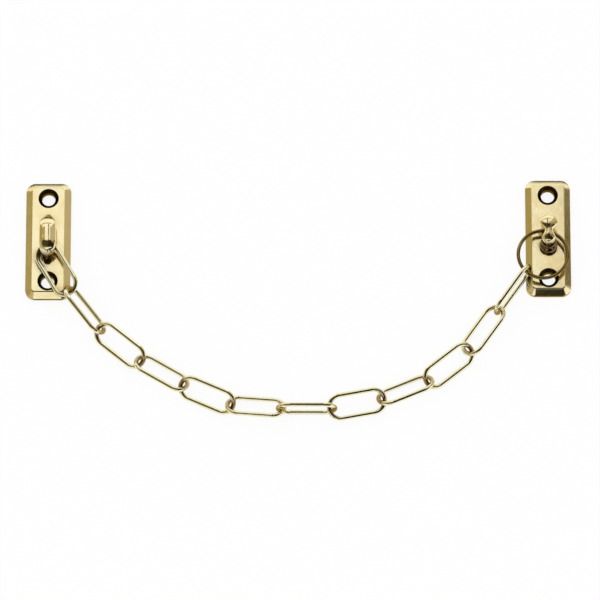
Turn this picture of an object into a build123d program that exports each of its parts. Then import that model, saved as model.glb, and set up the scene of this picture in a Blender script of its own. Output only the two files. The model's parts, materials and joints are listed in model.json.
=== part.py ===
from build123d import *
import os
from math import cos, radians, sin, sqrt, tan

# Door chain, laid out flat. Millimetres. X runs to the right, Y away, Z up from the fixing plane.
# The origin is midway between the chain plate's two screw holes, on its back face.

# Fixing plates, both alike
plate_width = 15.0
plate_length = 40.5
plate_height = 3.4
rim_height = 1.6
bevel_width = 2.0
corner_radius = 3.2
edge_round = 0.6
screw_spacing = 29.0
screw_hole_diameter = 4.5
countersink_diameter = 6.8
countersink_angle = 90.0

# Chain and ring wire
wire_diameter = 1.5
link_length = 20.4
link_width = 9.3
ring_diameter = 17.7
ring_wire_diameter = 1.2

# Free play
chain_gap = 0.5
lift_gap = 0.5

# Staple on the chain plate
staple_width = 5.6
staple_thickness = 2.3
staple_foot = 8.4
staple_slope = 50.0
staple_slack = 0.7
shoulder_width = 5.6
shoulder_inset = 1.0
leg_width = 3.7
foot_width = 4.5
foot_length = 4.4
foot_reach = 10.1
foot_sink = 0.3

# Hook on the hook plate
stem_diameter = 4.2
stem_offset = -2.8
root_width = 7.0
root_length = 6.9
root_reach = 7.2
waist_width = 5.9
waist_length = 5.6
waist_height = 1.2
crown_width = 4.3
crown_depth = 3.5
crown_shift = 0.2
crown_lean = 10.0
bend_width = 4.7
bend_depth = 2.9
bend_shift = 0.8
bend_drop = 0.4
bend_lean = 38.0
nape_width = 3.4
nape_shift = 2.1
nape_lean = 74.0
neck_width = 2.8
neck_thickness = 2.3
neck_shift = 3.4
head_width = 6.2
head_length = 5.2
head_offset = 3.0

# Head's outline: shares of its width, of the neck's thickness and of its length from the middle
head_outline = [(0.78, 1.08, -0.25), (1.0, 1.16, 0.0), (0.88, 1.0, 0.25), (0.56, 0.64, 0.42), (0.2, 0.24, 0.5)]

# How the chain lies: each link's direction over the floor, and how far its left leg is tipped up
headings = [-59.5, -51.5, -38.5, -30.5, -23.5, -5.5, 0, 12, 22.5, 38.5, 54, 54]
rolls = [20, -55, 40, -34, 42, -32, 88, 28, -40, 40, -34, 84]
ring_heading = 46.0
hook_heading = 67.0
ring_lift = 3.5

# Sizes that follow from those above
wire_radius = wire_diameter / 2
bow_radius = (link_width - wire_diameter) / 2
leg_length = link_length - link_width
link_pitch = link_length - 2 * wire_diameter - chain_gap
ring_wire_radius = ring_wire_diameter / 2
ring_step = ring_wire_radius + chain_gap / 2
ring_radius = ring_diameter / 2 - ring_wire_radius
bevel_height = plate_height - rim_height
half_heights = [bow_radius * abs(sin(radians(roll))) + wire_radius for roll in rolls]

# Heights of the crossings between neighbours: over the plates at both ends, on the floor between
knot_heights = [plate_height + lift_gap + half_heights[0]] * 2
for near, far in zip(half_heights[1:-1], half_heights[2:]):
    knot_heights.append(max(near, far))
knot_heights.append(plate_height + ring_lift)

# Staple leg where the first link passes it
leg_y = (knot_heights[0] - plate_height) / tan(radians(staple_slope)) - staple_foot
leg_reach = staple_thickness / 2 / sin(radians(staple_slope)) + chain_gap / 2 + staple_slack
first_way = Vector(cos(radians(headings[0])), sin(radians(headings[0])))
start = Vector(0, leg_y, knot_heights[0]) - first_way * leg_reach


def link_way(index):
    # Unit vector along one link, from its heading and the heights at its two ends.
    rise = (knot_heights[index + 1] - knot_heights[index]) / link_pitch
    run = sqrt(1 - rise**2)
    heading = radians(headings[index])
    return Vector(run * cos(heading), run * sin(heading), rise)


def link_plane(index):
    # Plane of one link: x along the link, y towards its left leg.
    way = link_way(index)
    left = Vector(0, 0, 1).cross(way).normalized()
    above = way.cross(left)
    roll = radians(rolls[index])
    middle = (knots[index] + knots[index + 1]) * 0.5
    return Plane(middle, x_dir=way, z_dir=above * cos(roll) - left * sin(roll))


# Crossing points along the chain, one link after another
knots = [start]
for index in range(len(headings)):
    knots.append(knots[-1] + link_way(index) * link_pitch)

# Ring, caught in the last link's end
ring_way = Vector(cos(radians(ring_heading)), sin(radians(ring_heading)))
ring_centre = knots[-1] - link_way(len(headings) - 1) * ring_step + ring_way * ring_radius

# Hook plate, caught in the ring by its hook's stem
stem_reach = ring_radius - ring_wire_radius - lift_gap - stem_diameter / 2
stem_way = Vector(cos(radians(hook_heading)), sin(radians(hook_heading)))
stem_centre = ring_centre + stem_way * stem_reach
hook_x = stem_centre.X
hook_y = stem_centre.Y - stem_offset
ring_z = ring_centre.Z
arm_under = ring_z + ring_wire_radius + lift_gap
arm_z = arm_under + neck_thickness / 2


def plate_body(x, y):
    # Bevelled plate standing on its back face, with its top edges eased.
    with BuildPart() as body:
        with BuildSketch(Plane((x, y, 0))):
            RectangleRounded(plate_width, plate_length, corner_radius)
        extrude(amount=rim_height)
        with BuildSketch(Plane((x, y, rim_height))):
            RectangleRounded(plate_width, plate_length, corner_radius)
        slope = Vector(bevel_width, 0).get_angle(Vector(bevel_width, bevel_height))
        extrude(amount=bevel_height, taper=90 - slope)
        top = body.faces().sort_by(Axis.Z)[-1]
        fillet(top.edges(), edge_round)
    return body.part


def screw_holes(x, y):
    # Two countersunk holes in line.
    with Locations((x, y + screw_spacing / 2, plate_height), (x, y - screw_spacing / 2, plate_height)):
        CounterSinkHole(
            radius=screw_hole_diameter / 2,
            counter_sink_radius=countersink_diameter / 2,
            counter_sink_angle=countersink_angle,
        )


def lofted_bar(x, y, sections):
    # Smooth bar through ellipses: half width, half depth, distance along the plate, height and lean.
    with BuildPart() as bar:
        for half_width, half_depth, along, height, lean in sections:
            facing = (0, sin(radians(lean)), cos(radians(lean)))
            with BuildSketch(Plane((x, y + along, height), x_dir=(1, 0, 0), z_dir=facing)):
                Ellipse(half_width, half_depth)
        loft()
    return bar.part


os.makedirs("parts", exist_ok=True)

# Chain plate with its staple, whose far half mirrors the near one
link_tip = staple_width / 2 * sin(radians(rolls[0]))
staple_top = knot_heights[0] + wire_radius + link_tip + lift_gap + staple_thickness / 2
shoulder_y = staple_foot - (staple_top - plate_height) / tan(radians(staple_slope))
near_half = [
    (foot_width / 2, foot_length / 2, foot_length / 2 - foot_reach, plate_height - foot_sink, 0),
    (leg_width / 2, staple_thickness / 2, leg_y, knot_heights[0], 90 - staple_slope),
    (shoulder_width / 2, staple_thickness / 2, shoulder_inset - shoulder_y, staple_top, 90),
]
middle = (staple_width / 2, staple_thickness / 2, 0, staple_top, 90)
far_half = [(width, depth, -along, height, 180 - lean) for width, depth, along, height, lean in near_half]

with BuildPart() as chain_plate:
    add(plate_body(0, 0))
    add(lofted_bar(0, 0, [*near_half, middle, *reversed(far_half)]))
    screw_holes(0, 0)
chain_plate.part.label = "chain_plate"
export_step(chain_plate.part, "parts/chain_plate.step")

# Twelve oval links
for index in range(len(headings)):
    lying = link_plane(index)
    with BuildPart() as link:
        with BuildLine(lying) as oval:
            Line((-leg_length / 2, bow_radius), (leg_length / 2, bow_radius))
            CenterArc((leg_length / 2, 0), bow_radius, 90, -180)
            Line((leg_length / 2, -bow_radius), (-leg_length / 2, -bow_radius))
            CenterArc((-leg_length / 2, 0), bow_radius, -90, -180)
        with BuildSketch(Plane(oval.wires()[0] @ 0, z_dir=oval.wires()[0] % 0)):
            Circle(wire_radius)
        sweep(path=oval.wires()[0])
    name = f"link_{index + 1:02d}"
    link.part.label = name
    export_step(link.part, f"parts/{name}.step")

# Ring
with BuildPart() as ring:
    with BuildSketch(Plane(ring_centre, x_dir=(1, 0, 0), z_dir=(0, -1, 0))):
        with Locations((ring_radius, 0)):
            Circle(ring_wire_radius)
    revolve(axis=Axis(ring_centre, (0, 0, 1)))
ring.part.label = "ring"
export_step(ring.part, "parts/ring.step")

# Hook plate with its hook, from the root up the stem, over the arm and out to the head
stem_back = stem_offset + stem_diameter / 2
hook_sections = [
    (root_width / 2, root_length / 2, root_length / 2 - root_reach, plate_height - foot_sink, 0),
    (waist_width / 2, waist_length / 2, stem_back - waist_length / 2, plate_height + waist_height, 0),
    (stem_diameter / 2, stem_diameter / 2, stem_offset, ring_z - ring_wire_radius, 0),
    (crown_width / 2, crown_depth / 2, stem_offset + crown_shift, ring_z + ring_wire_radius, crown_lean),
    (bend_width / 2, bend_depth / 2, stem_offset + bend_shift, arm_z - bend_drop, bend_lean),
    (nape_width / 2, neck_thickness / 2, stem_offset + nape_shift, arm_z, nape_lean),
    (neck_width / 2, neck_thickness / 2, stem_offset + neck_shift, arm_z, 90),
]
for width, thickness, along in head_outline:
    head_y = head_offset + head_length * along
    hook_sections.append((head_width * width / 2, neck_thickness * thickness / 2, head_y, arm_z, 90))

with BuildPart() as hook_plate:
    add(plate_body(hook_x, hook_y))
    add(lofted_bar(hook_x, hook_y, hook_sections))
    screw_holes(hook_x, hook_y)
hook_plate.part.label = "hook_plate"
export_step(hook_plate.part, "parts/hook_plate.step")
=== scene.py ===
import json
import math

import bpy
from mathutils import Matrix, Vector


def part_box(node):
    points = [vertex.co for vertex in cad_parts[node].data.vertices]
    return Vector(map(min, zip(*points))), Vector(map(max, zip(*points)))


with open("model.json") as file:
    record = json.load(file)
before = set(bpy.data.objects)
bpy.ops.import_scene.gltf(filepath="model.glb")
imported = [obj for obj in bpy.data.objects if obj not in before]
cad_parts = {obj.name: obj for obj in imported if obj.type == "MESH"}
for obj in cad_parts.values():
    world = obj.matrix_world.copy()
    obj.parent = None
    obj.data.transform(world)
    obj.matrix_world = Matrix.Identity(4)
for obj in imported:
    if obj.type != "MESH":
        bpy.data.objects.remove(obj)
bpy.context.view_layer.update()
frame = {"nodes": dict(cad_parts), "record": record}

MM = 0.001


def srgb(red, green, blue):
    """Linear colour from 0 to 255 screen values, by the sRGB curve."""
    linear = []
    for value in (red, green, blue):
        share = value / 255
        linear.append(share / 12.92 if share <= 0.04045 else ((share + 0.055) / 1.055) ** 2.4)
    return (*linear, 1.0)


# Camera: where the photograph looks, its angle and how much it takes in
AIM = Vector((84.1, -20.1, 0.0)) * MM
ELEVATION = math.radians(72.0)
VIEW_WIDTH = 200.0 * MM
LENS = 360.0
SENSOR = 36.0
CLIP_END = 100.0

# Brass colours: a pale and a warm tone for each finish, what wear leaves, and painted shade for crevices,
# feet, crossings and countersinks
PLATE_COLOURS = (srgb(253, 241, 196), srgb(250, 232, 178))
CHAIN_COLOURS = (srgb(253, 250, 220), srgb(247, 240, 196))
# The ring's pair is much darker: painted shade standing in for its dark reflections
RING_SHADED_COLOURS = (srgb(154, 133, 82), srgb(128, 107, 60))
GLANCING_TINT = srgb(226, 205, 150)
# Painted shade, laid into crevices and onto the feet of the staple and the hook
PAINTED_SHADE = srgb(84, 60, 24)
# Painted shade where the links cross
CROSSING_SHADE = srgb(136, 104, 42)
WORN_EDGE = srgb(255, 242, 205)
# Painted shade inside the countersinks
COUNTERSINK_SHADE = srgb(50, 38, 18)

# Finish: roughness of each piece, how far marks and clouds spread it, and marks per metre on X, Y and Z
PLATE_POLISH = 0.11
CHAIN_POLISH = 0.08
RING_POLISH = 0.07
POLISH_SPREAD = (0.7, 1.5)
PLATE_MARKS = (5200.0, 420.0, 5200.0)
CHAIN_MARKS = (900.0, 900.0, 900.0)

# Noise: scale, number of finer layers and how much these add; clouds have their scale per metre
MARK_GRAIN = (1.0, 3.0, 0.7)
COLOUR_CLOUDS = (160.0, 5.0, 0.6)
DULL_CLOUDS = (240.0, 4.0, 0.55)
SWELL_CLOUDS = (330.0, 2.0, 0.4)
SHADE_CLOUDS = (420.0, 4.0, 0.5)
WEAR_CLOUDS = (700.0, 4.0, 0.5)

# Contrast: the values between which each noise, hollow or edge turns from one look to the other
COLOUR_CONTRAST = (0.35, 0.68)
GRAIN_CONTRAST = (0.3, 0.7)
SHADE_CONTRAST = (0.3, 0.6)
WEAR_CONTRAST = (0.35, 0.6)
HOLLOW_CONTRAST = (0.35, 0.92)
EDGE_CONTRAST = (0.93, 0.995)

# Amounts: how thick each layer is, how much of the grain is marks, and what relief marks leave
HOLLOW_AMOUNT = (0.45, 0.9)
FEET_AMOUNT = 0.9
CROSSING_SHADE_AMOUNT = 0.85
MARK_SHARE = 0.6
MARK_RELIEF = 0.05

# Reaches: painted shade in crevices, on the feet above the plates and at the crossings, and worn edges
PLATE_CREVICE = 3.5 * MM
CHAIN_CREVICE = 2.5 * MM
FEET_START = (3.5 * MM, 4.0 * MM)
FEET_END = (7.0 * MM, 9.6 * MM)
CROSSING_REACH = (1.5 * MM, 3.8 * MM)
EDGE_REACH = 0.22 * MM

# Rays that look for crevices and edges
HOLLOW_SAMPLES = 8
EDGE_SAMPLES = 6

# Countersinks: their radius, how sharply they end, and the rings that turning leaves
COUNTERSINK_RADIUS = 3.4 * MM
COUNTERSINK_EDGE = (0.985, 1.01)
TURNING_PITCH = 0.16 * MM
TURNING_RELIEF = 0.25
TURNING_ROUGHNESS = 0.16

# Relief of all faces
BUMP_HEIGHT = 0.03 * MM
BUMP_STRENGTH = 0.5


# Node helpers
class Nodes:
    """Short calls for building one node tree."""

    def __init__(self, tree):
        self.tree = tree
        tree.nodes.clear()

    def add(self, kind, **settings):
        node = self.tree.nodes.new(kind)
        for key, value in settings.items():
            setattr(node, key, value)
        return node

    def link(self, source, target):
        self.tree.links.new(source, target)

    def fill(self, sockets, values):
        for socket, value in zip(sockets, values):
            if isinstance(value, bpy.types.NodeSocket):
                self.link(value, socket)
            else:
                socket.default_value = value

    def math(self, operation, *values):
        node = self.add("ShaderNodeMath", operation=operation)
        self.fill(node.inputs, values)
        return node.outputs[0]

    def vector(self, operation, output, *values):
        node = self.add("ShaderNodeVectorMath", operation=operation)
        self.fill(node.inputs, values)
        return node.outputs[output]

    def noise(self, vector, scale, detail, roughness):
        node = self.add("ShaderNodeTexNoise")
        names = ("Vector", "Scale", "Detail", "Roughness")
        self.fill([node.inputs[name] for name in names], (vector, scale, detail, roughness))
        return node.outputs["Fac"]

    def ramp(self, value, low, high, out_low=0.0, out_high=1.0):
        node = self.add("ShaderNodeMapRange", interpolation_type="SMOOTHSTEP")
        names = ("Value", "From Min", "From Max", "To Min", "To Max")
        self.fill([node.inputs[name] for name in names], (value, low, high, out_low, out_high))
        return node.outputs["Result"]

    def mix(self, factor, first, second):
        node = self.add("ShaderNodeMix", data_type="RGBA")
        colours = [socket for socket in node.inputs if socket.type == "RGBA"]
        self.fill([node.inputs["Factor"], *colours], (factor, first, second))
        return next(socket for socket in node.outputs if socket.type == "RGBA")

    def stretched(self, vector, scale):
        node = self.add("ShaderNodeMapping")
        self.fill([node.inputs["Vector"], node.inputs["Scale"]], (vector, scale))
        return node.outputs["Vector"]


# Brass
def painted_crevice_shade(nodes, place, colour, reach):
    """Paints shade, in uneven clouds, on what lies close to another surface."""
    hollow = nodes.add("ShaderNodeAmbientOcclusion", samples=HOLLOW_SAMPLES)
    hollow.inputs["Distance"].default_value = reach
    crevice = nodes.ramp(hollow.outputs["AO"], *HOLLOW_CONTRAST, 1.0, 0.0)
    uneven = nodes.ramp(nodes.noise(place, *SHADE_CLOUDS), *SHADE_CONTRAST, *HOLLOW_AMOUNT)
    return nodes.mix(nodes.math("MULTIPLY", crevice, uneven), colour, PAINTED_SHADE)


def painted_foot_shade(nodes, place, colour):
    """Paints shade on the staple's and the hook's feet, just above the plate's flat top."""
    parts = nodes.add("ShaderNodeSeparateXYZ")
    nodes.link(place, parts.inputs["Vector"])
    above = nodes.ramp(parts.outputs["Z"], *FEET_START)
    below = nodes.ramp(parts.outputs["Z"], *FEET_END, FEET_AMOUNT, 0.0)
    return nodes.mix(nodes.math("MULTIPLY", above, below), colour, PAINTED_SHADE)


def edge_wear(nodes, place, colour):
    """Brightens sharp edges in broken stretches."""
    rounded = nodes.add("ShaderNodeBevel", samples=EDGE_SAMPLES)
    rounded.inputs["Radius"].default_value = EDGE_REACH
    true_normal = nodes.add("ShaderNodeNewGeometry").outputs["Normal"]
    facing = nodes.vector("DOT_PRODUCT", "Value", rounded.outputs["Normal"], true_normal)
    edge = nodes.ramp(facing, *EDGE_CONTRAST, 1.0, 0.0)
    broken = nodes.ramp(nodes.noise(place, *WEAR_CLOUDS), *WEAR_CONTRAST)
    return nodes.mix(nodes.math("MULTIPLY", edge, broken), colour, WORN_EDGE)


def brass(name, polish, colours, marks_scale, crevice_reach, holes=(), footed=False, crossings=()):
    """Polished brass with clouds, painted shade in crevices, on the feet and at the crossings, worn edges,
    polish marks, and turned countersinks painted dark as shade.
    """
    material = bpy.data.materials.new(name)
    material.use_nodes = True
    nodes = Nodes(material.node_tree)
    place = nodes.add("ShaderNodeTexCoord").outputs["Object"]

    # Colour
    colour = nodes.mix(nodes.ramp(nodes.noise(place, *COLOUR_CLOUDS), *COLOUR_CONTRAST), *colours)
    colour = painted_crevice_shade(nodes, place, colour, crevice_reach)
    # Painted shade on the feet of the staple and the hook
    if footed:
        colour = painted_foot_shade(nodes, place, colour)
    # Painted shade round each link crossing
    for crossing in crossings:
        apart = nodes.vector("DISTANCE", "Value", place, crossing)
        colour = nodes.mix(nodes.ramp(apart, *CROSSING_REACH, CROSSING_SHADE_AMOUNT, 0.0), colour, CROSSING_SHADE)
    colour = edge_wear(nodes, place, colour)

    # Finish: fine polish marks, broken by cloudy dulling, on a slightly uneven face
    marks = nodes.noise(nodes.stretched(place, marks_scale), *MARK_GRAIN)
    dulling = nodes.noise(place, *DULL_CLOUDS)
    marks_part = nodes.math("MULTIPLY", marks, MARK_SHARE)
    dulling_part = nodes.math("MULTIPLY", dulling, 1 - MARK_SHARE)
    grain = nodes.math("ADD", marks_part, dulling_part)
    smoothest, roughest = (polish * share for share in POLISH_SPREAD)
    roughness = nodes.ramp(grain, *GRAIN_CONTRAST, smoothest, roughest)
    swell = nodes.noise(place, *SWELL_CLOUDS)
    relief = nodes.math("ADD", swell, nodes.math("MULTIPLY", marks, MARK_RELIEF))

    # Countersinks: turned with fine rings, left dull and painted dark as shade
    edge_inside, edge_outside = (COUNTERSINK_RADIUS * share for share in COUNTERSINK_EDGE)
    for centre in holes:
        offset = nodes.vector("SUBTRACT", "Vector", place, centre)
        level_offset = nodes.vector("MULTIPLY", "Vector", offset, (1.0, 1.0, 0.0))
        reach = nodes.vector("LENGTH", "Value", level_offset)
        inside = nodes.ramp(reach, edge_inside, edge_outside, 1.0, 0.0)
        colour = nodes.mix(inside, colour, COUNTERSINK_SHADE)
        rings = nodes.math("SINE", nodes.math("MULTIPLY", reach, 2 * math.pi / TURNING_PITCH))
        turned = nodes.math("MULTIPLY", nodes.math("MULTIPLY", rings, inside), TURNING_RELIEF)
        relief = nodes.math("ADD", relief, turned)
        roughness = nodes.math("ADD", roughness, nodes.math("MULTIPLY", inside, TURNING_ROUGHNESS))

    bump = nodes.add("ShaderNodeBump")
    bump.inputs["Strength"].default_value = BUMP_STRENGTH
    bump.inputs["Distance"].default_value = BUMP_HEIGHT
    nodes.link(relief, bump.inputs["Height"])
    shader = nodes.add("ShaderNodeBsdfPrincipled")
    shader.inputs["Metallic"].default_value = 1.0
    shader.inputs["Specular Tint"].default_value = GLANCING_TINT
    nodes.link(colour, shader.inputs["Base Color"])
    nodes.link(roughness, shader.inputs["Roughness"])
    nodes.link(bump.outputs["Normal"], shader.inputs["Normal"])
    output = nodes.add("ShaderNodeOutputMaterial")
    nodes.link(shader.outputs["BSDF"], output.inputs["Surface"])
    return material


def hole_centres(plate):
    """Screw hole centres of one plate, from the record's mounts."""
    mount = next(m for m in frame["record"]["mounts"] if m["name"] == plate + "_screws")
    middle = Vector(mount["pos_m"])
    half = Vector((0, mount["dims"]["spacing_y_mm"] * MM / 2, 0))
    return [middle + half, middle - half]


def dress(node, material):
    """Gives one node its material."""
    piece = frame["nodes"][node]
    piece.data.materials.clear()
    piece.data.materials.append(material)


PLATES = ("chain_plate", "hook_plate")
crossings = [joint["pos_m"] for joint in frame["record"]["behaviour"]["joints"]]
chain_brass = brass(
    "chain_brass", CHAIN_POLISH, CHAIN_COLOURS, CHAIN_MARKS, CHAIN_CREVICE, crossings=crossings
)
# The ring's brass is painted darker, as shade
ring_brass = brass("ring_brass", RING_POLISH, RING_SHADED_COLOURS, CHAIN_MARKS, CHAIN_CREVICE, crossings=crossings)
for node in frame["nodes"]:
    if node in PLATES:
        finish = (PLATE_POLISH, PLATE_COLOURS, PLATE_MARKS, PLATE_CREVICE)
        dress(node, brass(node + "_brass", *finish, holes=hole_centres(node), footed=True))
    elif node == "ring":
        dress(node, ring_brass)
    else:
        dress(node, chain_brass)


# Stage pieces
def panel(name, corners, material):
    """One flat stage piece from its corners."""
    mesh = bpy.data.meshes.new(name)
    mesh.from_pydata(corners, [], [tuple(range(len(corners)))])
    mesh.materials.append(material)
    piece = bpy.data.objects.new(name, mesh)
    bpy.context.scene.collection.objects.link(piece)
    return piece


def card(name, corners, material):
    """Card that only reflections show."""
    piece = panel(name, corners, material)
    piece.visible_camera = False
    piece.visible_diffuse = False
    piece.visible_shadow = False


def stack(name, start, end, bands):
    """Column of a wall between two floor points: cards from the floor up, each with its top edge."""
    low = 0.0
    for number, (top, material) in enumerate(bands, 1):
        corners = [(*start, low), (*end, low), (*end, top), (*start, top)]
        card(f"{name}_{number}", corners, material)
        low = top


def level(name, low, high, height, material):
    """Card lying flat at one height, between two floor corners."""
    corners = [(low[0], low[1]), (high[0], low[1]), (high[0], high[1]), (low[0], high[1])]
    card(name, [(x, y, height) for x, y in corners], material)


def card_material(name, colour):
    """One even colour."""
    material = bpy.data.materials.new(name)
    material.use_nodes = True
    nodes = Nodes(material.node_tree)
    glow = nodes.add("ShaderNodeEmission")
    glow.inputs["Color"].default_value = (*colour, 1.0)
    output = nodes.add("ShaderNodeOutputMaterial")
    nodes.link(glow.outputs["Emission"], output.inputs["Surface"])
    return material


# Floor
FLOOR_HALF = 6.0
FLOOR_DROP = 0.05 * MM
FLOOR_COLOUR = (0.96, 0.96, 0.955, 1.0)
FLOOR_GLOW = 0.88


def floor_material():
    """White to the camera and in reflections, with a little of the shadow kept."""
    material = bpy.data.materials.new("floor_white")
    material.use_nodes = True
    nodes = Nodes(material.node_tree)
    diffuse = nodes.add("ShaderNodeBsdfDiffuse")
    diffuse.inputs["Color"].default_value = FLOOR_COLOUR
    glow = nodes.add("ShaderNodeEmission")
    path = nodes.add("ShaderNodeLightPath")
    seen = nodes.math("MAXIMUM", path.outputs["Is Camera Ray"], path.outputs["Is Glossy Ray"])
    seen = nodes.math("MAXIMUM", seen, path.outputs["Is Transmission Ray"])
    blend = nodes.add("ShaderNodeMixShader")
    nodes.link(nodes.math("MULTIPLY", seen, FLOOR_GLOW), blend.inputs["Fac"])
    nodes.link(diffuse.outputs["BSDF"], blend.inputs[1])
    nodes.link(glow.outputs["Emission"], blend.inputs[2])
    output = nodes.add("ShaderNodeOutputMaterial")
    nodes.link(blend.outputs["Shader"], output.inputs["Surface"])
    return material


floor_corners = [
    (AIM.x + x * FLOOR_HALF, AIM.y + y * FLOOR_HALF, -FLOOR_DROP)
    for x, y in ((-1, -1), (1, -1), (1, 1), (-1, 1))
]
panel("floor", floor_corners, floor_material())

# Tent seen only in reflections, in metres: mostly dark round the camera, so that wires keep dark cores,
# and pale behind and beside the object, where the plates' flat tops look from other sides
LEFT, RIGHT, NEAR, FAR, ROOF = -0.66, 0.40, -0.70, 0.75, 0.90
black = card_material("card_black", (0.018, 0.014, 0.006))
dark = card_material("card_dark", (0.05, 0.043, 0.018))
brown = card_material("card_brown", (0.16, 0.125, 0.06))
bronze = card_material("card_bronze", (0.21, 0.175, 0.085))
olive = card_material("card_olive", (0.38, 0.31, 0.14))
tan = card_material("card_tan", (0.50, 0.44, 0.32))
white = card_material("card_white", (1.0, 1.0, 1.0))

# Near wall: a pale band for the left plate's near bevel and for the flat tops from behind, black below it
# on the right for the right plate's near bevel, and a pale foot except before the staple and the hook
CORNER_END, STAPLE_START, STAPLE_END, HOOK_START, HOOK_END = -0.20, -0.06, 0.04, 0.14, 0.24
FOOT_TOP, BAND_LOW, BLACK_TOP, CORNER_TOP, BAND_TOP = 0.15, 0.27, 0.40, 0.50, 0.56
left_bands = [(BAND_LOW, dark), (BAND_TOP, white), (ROOF, dark)]
right_bands = [(BLACK_TOP, black), (BAND_TOP, white), (ROOF, black)]
foot = (FOOT_TOP, white)
near_columns = [
    (LEFT, CORNER_END, [foot, (CORNER_TOP, tan), (ROOF, bronze)]),
    (CORNER_END, STAPLE_START, [foot, *left_bands]),
    (STAPLE_START, STAPLE_END, left_bands),
    (STAPLE_END, AIM.x, [foot, *left_bands]),
    (AIM.x, HOOK_START, [foot, *right_bands]),
    (HOOK_START, HOOK_END, right_bands),
    (HOOK_END, RIGHT, [foot, *right_bands]),
]
for number, (start, end, bands) in enumerate(near_columns, 1):
    stack(f"near_wall_{number}", (start, NEAR), (end, NEAR), bands)

# Far and left walls: pale, with an olive strip for the plates' left bevels
PALE_TOP, OLIVE_TOP = 0.60, 0.25
STRIP_START, LEFT_STRIP_END, RIGHT_STRIP_END = 0.10, 0.48, 0.45
pale_bands = [(PALE_TOP, white), (ROOF, tan)]
stack("far_wall", (RIGHT, FAR), (LEFT, FAR), pale_bands)
left_columns = [
    (STRIP_START, NEAR, [(OLIVE_TOP, olive), (PALE_TOP, tan), (ROOF, bronze)]),
    (LEFT_STRIP_END, STRIP_START, [(ROOF, olive)]),
    (FAR, LEFT_STRIP_END, pale_bands),
]
for number, (start, end, bands) in enumerate(left_columns, 1):
    stack(f"left_wall_{number}", (LEFT, start), (LEFT, end), bands)

# Right wall: black near the camera, tan strips for the left plate's right bevel, a brown one between them
# for the right plate's, and pale beyond
LOW_TOP = 0.30
BLACK_END, BROWN_START = -0.02, 0.045
right_columns = [
    (NEAR, BLACK_END, [foot, (ROOF, black)]),
    (BLACK_END, BROWN_START, [(LOW_TOP, tan), (ROOF, bronze)]),
    (BROWN_START, STRIP_START, [(LOW_TOP, brown), (ROOF, bronze)]),
    (STRIP_START, RIGHT_STRIP_END, [(ROOF, tan)]),
    (RIGHT_STRIP_END, FAR, [(ROOF, white)]),
]
for number, (start, end, bands) in enumerate(right_columns, 1):
    stack(f"right_wall_{number}", (RIGHT, start), (RIGHT, end), bands)

# Roof: dark over the camera, then a row of cards for the plates' flat tops, and pale beyond, with a dark
# gap over the middle of the chain
PANEL_HALF = 0.10
OLIVE_END, GAP_START, GAP_END, TAN_START = -0.25, 0.04, 0.12, 0.22
panel_middle = ROOF / math.tan(ELEVATION)
panel_low, panel_high = panel_middle - PANEL_HALF, panel_middle + PANEL_HALF
level("roof_near_left", (LEFT, NEAR), (AIM.x, panel_low), ROOF, dark)
level("roof_near_right", (AIM.x, NEAR), (RIGHT, panel_low), ROOF, black)
row_stations = [LEFT, OLIVE_END, GAP_START, GAP_END, TAN_START, RIGHT]
row_colours = [olive, white, dark, white, tan]
for number, (start, end, colour) in enumerate(zip(row_stations, row_stations[1:], row_colours), 1):
    level(f"roof_row_{number}", (start, panel_low), (end, panel_high), ROOF, colour)
level("roof_far_left", (LEFT, panel_high), (GAP_START, FAR), ROOF, white)
level("roof_far_gap", (GAP_START, panel_high), (GAP_END, FAR), ROOF, dark)
level("roof_far_right", (GAP_END, panel_high), (RIGHT, FAR), ROOF, white)

# Flags on the floor, seen only in reflections: painted shadow that draws a dark line along the plates' far
# bevels and near rims, as a contact shadow would
SHADOW_FLAG_SIDE = 15.0 * MM
FAR_SHADOW_FLAG = (2.0 * MM, 9.5 * MM)
NEAR_SHADOW_FLAG = (0.2 * MM, 4.0 * MM)
for plate in PLATES:
    low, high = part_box(plate)
    far_start = (low[0] - SHADOW_FLAG_SIDE, high[1] + FAR_SHADOW_FLAG[0])
    far_end = (high[0] + SHADOW_FLAG_SIDE, high[1] + FAR_SHADOW_FLAG[1])
    level(plate + "_far_shadow_flag", far_start, far_end, 0.0, dark)
    near_start = (low[0], low[1] - NEAR_SHADOW_FLAG[1])
    near_end = (high[0], low[1] - NEAR_SHADOW_FLAG[0])
    level(plate + "_near_shadow_flag", near_start, near_end, 0.0, brown)


# Light
def light_world():
    """Even white sky."""
    world = bpy.data.worlds.new("studio")
    bpy.context.scene.world = world
    world.use_nodes = True
    nodes = Nodes(world.node_tree)
    sky = nodes.add("ShaderNodeBackground")
    sky.inputs["Color"].default_value = (1.0, 1.0, 1.0, 1.0)
    sky.inputs["Strength"].default_value = 1.0
    output = nodes.add("ShaderNodeOutputWorld")
    nodes.link(sky.outputs["Background"], output.inputs["Surface"])


light_world()

# Camera
camera_data = bpy.data.cameras.new("camera")
camera_data.lens = LENS
camera_data.sensor_width = SENSOR
camera_data.clip_end = CLIP_END
camera = bpy.data.objects.new("camera", camera_data)
bpy.context.scene.collection.objects.link(camera)
back = Vector((0.0, -math.cos(ELEVATION), math.sin(ELEVATION)))
camera.location = AIM + back * (VIEW_WIDTH * LENS / SENSOR)
camera.rotation_mode = "QUATERNION"
camera.rotation_quaternion = (-back).to_track_quat("-Z", "Y")
bpy.context.scene.camera = camera
bpy.context.scene.view_settings.view_transform = "Standard"
